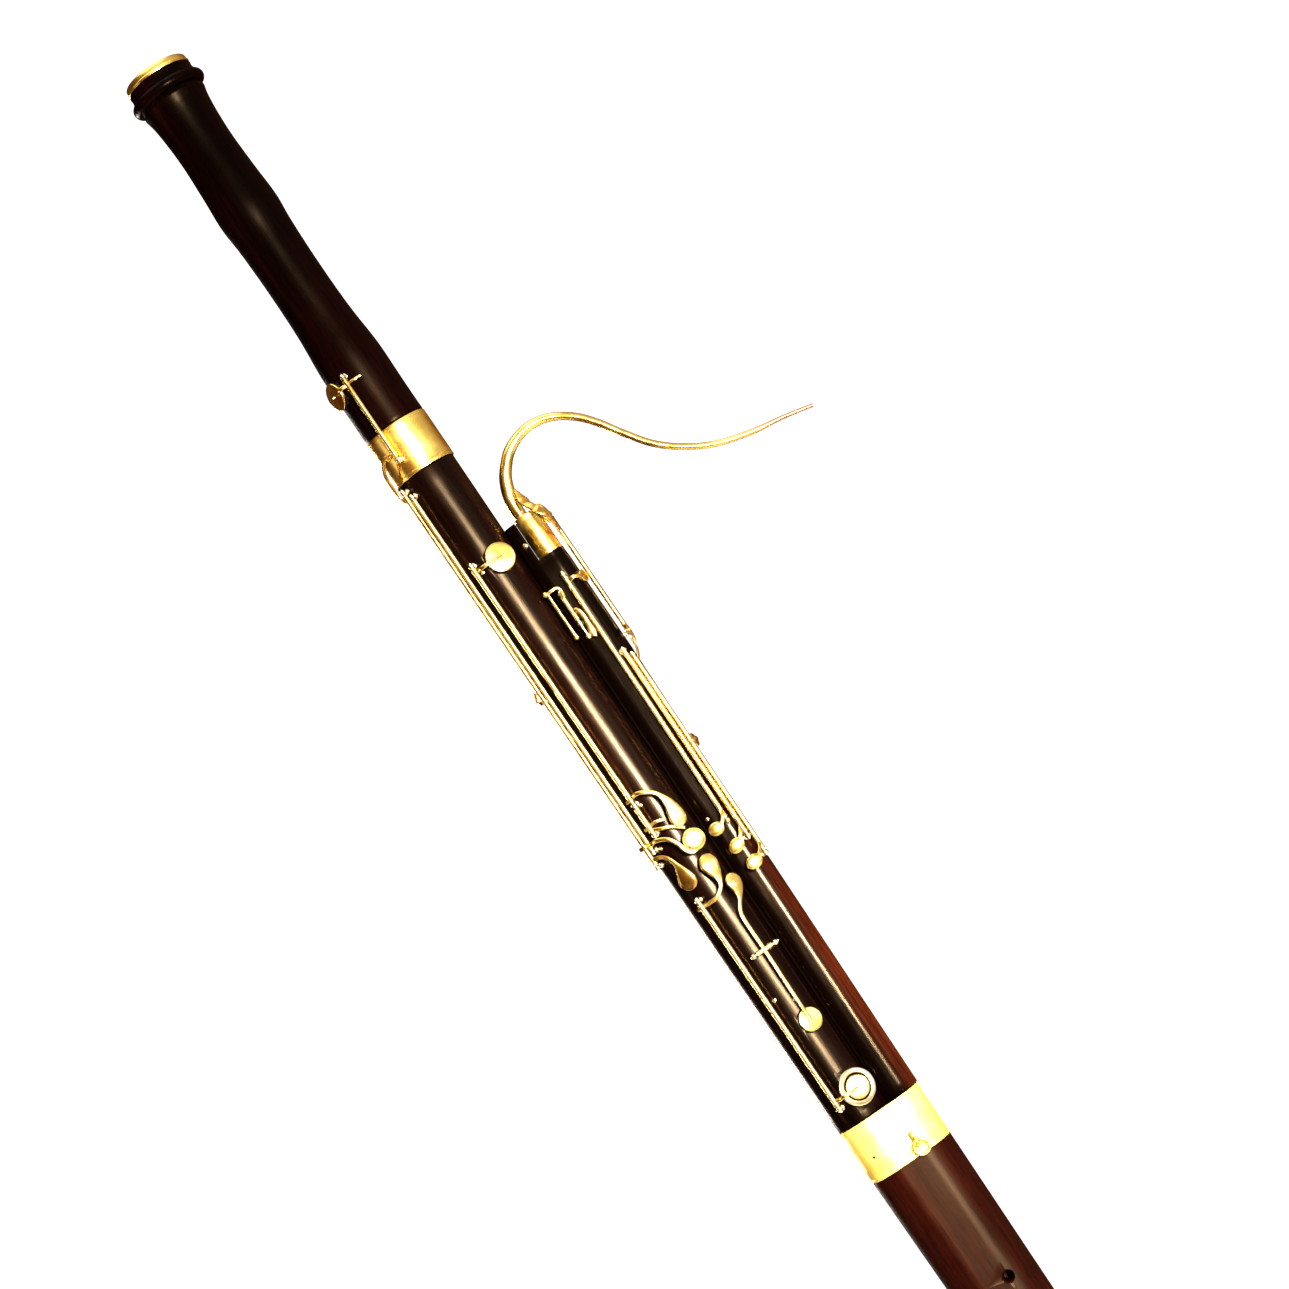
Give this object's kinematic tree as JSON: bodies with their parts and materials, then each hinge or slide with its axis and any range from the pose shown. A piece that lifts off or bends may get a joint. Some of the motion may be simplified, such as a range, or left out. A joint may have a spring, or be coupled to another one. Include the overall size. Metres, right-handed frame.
{
  "type": "bassoon",
  "caption": "Wooden bassoon in four joints with a curved metal crook, flared bell, brass ferrules and hinged keywork, shown without its reed.",
  "frame": {"origin": "centre of the flat underside of the boot cap", "axes": "+Z along the instrument from the boot to the bell, -Y towards the thumb side, +X from the long joint towards the wing joint and crook"},
  "size_m": [0.2823, 0.0643, 1.34],
  "materials": {
    "rosewood": "polished dark red-brown wood",
    "brass": "polished yellow brass",
    "steel": "polished pale metal",
    "pad_leather": "soft pale leather",
    "thread": "waxed thread",
    "cork": "matte cork"
  },
  "bodies": {
    "instrument": {"boot_joint": "rosewood", "boot_ferrule": "brass", "boot_cap": "brass", "u_bend_tube": "brass", "strap_ring_bracket": "brass", "long_joint": "rosewood", "long_joint_lower_wrap": "thread", "long_joint_upper_wrap": "thread", "d_pad_guard_ring": "brass", "bell_joint": "rosewood", "bell_ferrule": "brass", "bell_rim_cap": "brass", "wing_joint": "rosewood", "wing_joint_wrap": "thread", "crook_socket": "brass", "bell_key_axle": "steel", "low_b_flat_key_axle": "steel", "low_b_key_axle": "steel", "low_c_key_axle": "steel", "low_d_key_axle": "steel", "low_e_flat_key_axle": "steel", "wing_a_key_axle": "steel", "wing_c_key_axle": "steel", "crook_thumb_lever_axle": "steel", "crook_key_axle": "steel", "wing_c_sharp_key_axle": "steel", "boot_f_key_axle": "steel", "boot_a_flat_key_axle": "steel", "boot_f_sharp_key_axle": "steel"},
    "crook": {"crook": "brass", "crook_cork": "cork"},
    "strap_ring": {"strap_ring": "brass"},
    "bell_key": {"bell_key": "brass", "bell_key_pad": "pad_leather"},
    "low_b_flat_key": {"low_b_flat_key": "brass"},
    "low_b_key": {"low_b_key": "brass", "low_b_key_pad": "pad_leather"},
    "b_link_lever": {"b_link_lever": "brass"},
    "low_c_key": {"low_c_key": "brass", "low_c_key_pad": "pad_leather"},
    "low_d_key": {"low_d_key": "brass", "low_d_key_pad": "pad_leather"},
    "low_e_flat_key": {"low_e_flat_key": "brass", "low_e_flat_key_pad": "pad_leather"},
    "wing_a_key": {"wing_a_key": "brass", "wing_a_key_pad": "pad_leather"},
    "wing_c_key": {"wing_c_key": "brass", "wing_c_key_pad": "pad_leather"},
    "crook_thumb_lever": {"crook_thumb_lever": "brass"},
    "crook_key": {"crook_key": "brass"},
    "wing_c_sharp_key": {"wing_c_sharp_key": "brass"},
    "boot_f_key": {"boot_f_key": "brass", "boot_f_key_pad": "pad_leather"},
    "boot_a_flat_key": {"boot_a_flat_key": "brass", "boot_a_flat_key_pad": "pad_leather"},
    "boot_f_sharp_key": {"boot_f_sharp_key": "brass", "boot_f_sharp_key_pad": "pad_leather"}
  },
  "joints": [
    {"name": "crook_swivel", "type": "hinge", "parent": "instrument", "child": "crook", "pos_m": [0.0273, 0, 0.91], "axis": [0, 0, 1], "range_deg": [-110, 110]},
    {"name": "strap_ring_swing", "type": "hinge", "parent": "instrument", "child": "strap_ring", "pos_m": [0.0106, -0.02702, 0.412], "axis": [1, 0, 0], "range_deg": [-100, 8]},
    {"name": "bell_key_hinge", "type": "hinge", "parent": "instrument", "child": "bell_key", "pos_m": [-0.0218, -0.02625, 1.076], "axis": [0, -0.0061, -1], "range_deg": [0, 4.96], "stiffness_Nm_per_rad": 0.06, "springref_deg": -11.46},
    {"name": "low_b_flat_key_hinge", "type": "hinge", "parent": "instrument", "child": "low_b_flat_key", "pos_m": [-0.0326, -0.0176, 0.985], "axis": [0.0013, 0.0041, -1], "range_deg": [-6.2, 0], "stiffness_Nm_per_rad": 0.06, "springref_deg": 11.46},
    {"name": "low_b_key_hinge", "type": "hinge", "parent": "instrument", "child": "low_b_key", "pos_m": [-0.0217, -0.02497, 0.9136], "axis": [0.0022, 0.0036, -1], "range_deg": [-7.2, 0], "stiffness_Nm_per_rad": 0.06, "springref_deg": 11.46},
    {"name": "b_link_lever_hinge", "type": "hinge", "parent": "instrument", "child": "b_link_lever", "pos_m": [-0.0217, -0.02497, 0.9136], "axis": [0.0022, 0.0036, -1], "range_deg": [-7.3, 0], "stiffness_Nm_per_rad": 0.06, "springref_deg": 11.46},
    {"name": "low_c_key_hinge", "type": "hinge", "parent": "instrument", "child": "low_c_key", "pos_m": [-0.0289, -0.02123, 0.9785], "axis": [0.001, 0.0046, -1], "range_deg": [-6, 0], "stiffness_Nm_per_rad": 0.06, "springref_deg": 11.46},
    {"name": "low_d_key_hinge", "type": "hinge", "parent": "instrument", "child": "low_d_key", "pos_m": [-0.0221, -0.02351, 0.632], "axis": [0.0011, 0.0028, -1], "range_deg": [-7.7, 0], "stiffness_Nm_per_rad": 0.06, "springref_deg": 11.46},
    {"name": "low_e_flat_key_hinge", "type": "hinge", "parent": "instrument", "child": "low_e_flat_key", "pos_m": [-0.0116, -0.02617, 0.5786], "axis": [0.9975, 0.0701, 0], "range_deg": [-3.6, 0], "stiffness_Nm_per_rad": 0.06, "springref_deg": 11.46},
    {"name": "wing_a_key_hinge", "type": "hinge", "parent": "instrument", "child": "wing_a_key", "pos_m": [0.0283, -0.01541, 0.8744], "axis": [-0.0092, -0.008, -0.9999], "range_deg": [0, 9], "stiffness_Nm_per_rad": 0.06, "springref_deg": -11.46},
    {"name": "wing_c_key_hinge", "type": "hinge", "parent": "instrument", "child": "wing_c_key", "pos_m": [0.0334, -0.01556, 0.806], "axis": [-0.0071, 0.0047, -1], "range_deg": [0, 8], "stiffness_Nm_per_rad": 0.06, "springref_deg": -11.46},
    {"name": "crook_thumb_lever_hinge", "type": "hinge", "parent": "instrument", "child": "crook_thumb_lever", "pos_m": [0.0371, -0.0128, 0.8], "axis": [-0.0072, 0.0092, -0.9999], "range_deg": [0, 10], "stiffness_Nm_per_rad": 0.06, "springref_deg": -11.46},
    {"name": "crook_key_hinge", "type": "hinge", "parent": "instrument", "child": "crook_key", "pos_m": [0.04394, 0, 0.917], "axis": [-0.0003, 0, -1], "range_deg": [-9, 0], "stiffness_Nm_per_rad": 0.06, "springref_deg": 11.46},
    {"name": "wing_c_sharp_key_hinge", "type": "hinge", "parent": "instrument", "child": "wing_c_sharp_key", "pos_m": [0.019, -0.01564, 0.864], "axis": [-0.0056, -0.0217, -0.9997], "range_deg": [-12, 0], "stiffness_Nm_per_rad": 0.06, "springref_deg": 11.46},
    {"name": "boot_f_key_hinge", "type": "hinge", "parent": "instrument", "child": "boot_f_key", "pos_m": [-0.024, 0.02151, 0.236], "axis": [0.0041, -0.0084, -1], "range_deg": [0, 8.8], "stiffness_Nm_per_rad": 0.06, "springref_deg": -11.46},
    {"name": "boot_a_flat_key_hinge", "type": "hinge", "parent": "instrument", "child": "boot_a_flat_key", "pos_m": [0.0045, 0.02701, 0.172], "axis": [0.9885, -0.1515, 0], "range_deg": [0, 4.8], "stiffness_Nm_per_rad": 0.06, "springref_deg": -11.46},
    {"name": "boot_f_sharp_key_hinge", "type": "hinge", "parent": "instrument", "child": "boot_f_sharp_key", "pos_m": [-0.012, -0.02721, 0.196], "axis": [1, 0.0035, 0], "range_deg": [-4.2, 0], "stiffness_Nm_per_rad": 0.06, "springref_deg": 11.46}
  ],
  "couplings": [
    {"joint": "bell_key_hinge", "follows": "low_b_flat_key_hinge", "ratio": -0.8},
    {"joint": "b_link_lever_hinge", "follows": "low_b_key_hinge", "ratio": 1},
    {"joint": "crook_key_hinge", "follows": "crook_thumb_lever_hinge", "ratio": -0.85}
  ]
}
